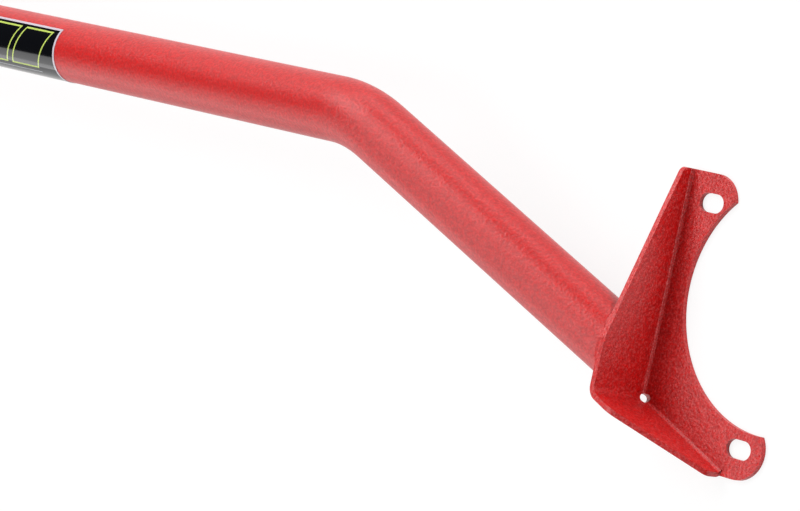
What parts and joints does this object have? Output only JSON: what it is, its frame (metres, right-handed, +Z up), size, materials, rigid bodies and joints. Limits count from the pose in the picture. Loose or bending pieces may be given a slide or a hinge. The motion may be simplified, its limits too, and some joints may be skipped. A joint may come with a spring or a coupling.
{
  "type": "strut tower brace",
  "caption": "Strut tower brace: a round red tube, bent near each end, welded to a folded steel bracket with slotted stud holes and a round cut-out for the strut's top mount.",
  "frame": {"origin": "on the surface that both brackets stand on, below the middle of the brace's outline", "axes": "+X across the car to the right-hand bracket, +Y to the side that the middle tube is offset to, +Z up off the strut towers"},
  "size_m": [1.0474, 0.1379, 0.0662],
  "materials": {
    "powder_coat": "fine wrinkle-textured satin powder coat",
    "label": "glossy laminated film"
  },
  "bodies": {
    "root": {"main_tube": "powder_coat", "right_bracket": "powder_coat", "left_bracket": "powder_coat", "right_weld_bead": "powder_coat", "left_weld_bead": "powder_coat", "label": "label"}
  },
  "joints": []
}
